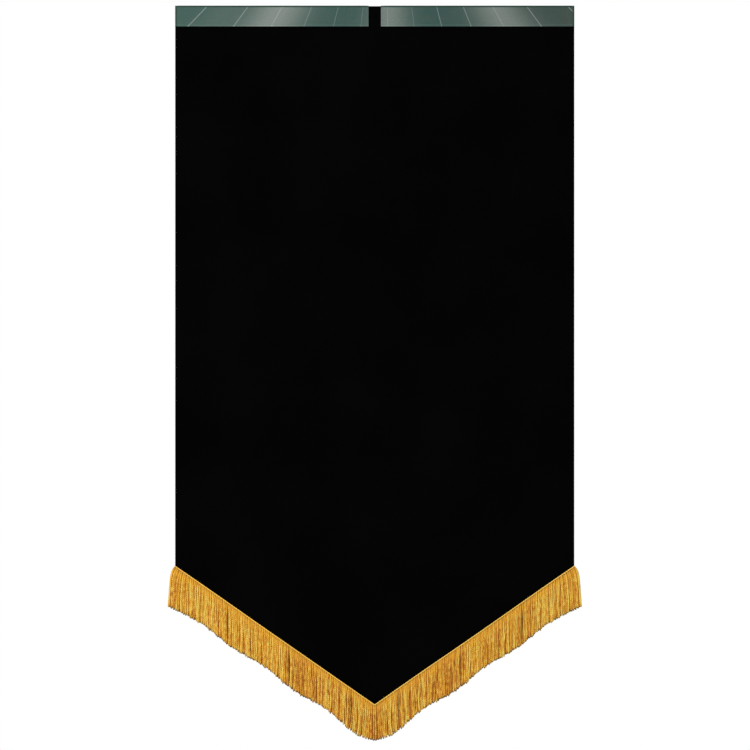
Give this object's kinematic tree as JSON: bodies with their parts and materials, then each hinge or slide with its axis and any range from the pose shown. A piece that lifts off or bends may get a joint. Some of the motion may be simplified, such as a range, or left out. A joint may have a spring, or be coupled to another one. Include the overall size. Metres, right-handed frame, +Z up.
{
  "type": "church banner",
  "caption": "Hanging cloth banner with a V-shaped lower edge, split pole sleeves along its top edge and a bullion fringe along the V.",
  "frame": {"origin": "middle of the panel's top edge, in the gap between the two pole sleeves", "axes": "+X to the right as the front is faced, -Y out of the front, +Z up"},
  "size_m": [0.6323, 0.0252, 1.1255],
  "materials": {
    "panel_cloth": "matt black banner cloth",
    "sleeve_satin": "grey-green satin with soft sheens and thin pale lines",
    "fringe_yarn": "twisted gold rayon"
  },
  "bodies": {
    "root": {"panel": "panel_cloth", "sleeve_left": "sleeve_satin", "sleeve_right": "sleeve_satin", "fringe_left": "fringe_yarn", "fringe_right": "fringe_yarn"}
  },
  "joints": []
}
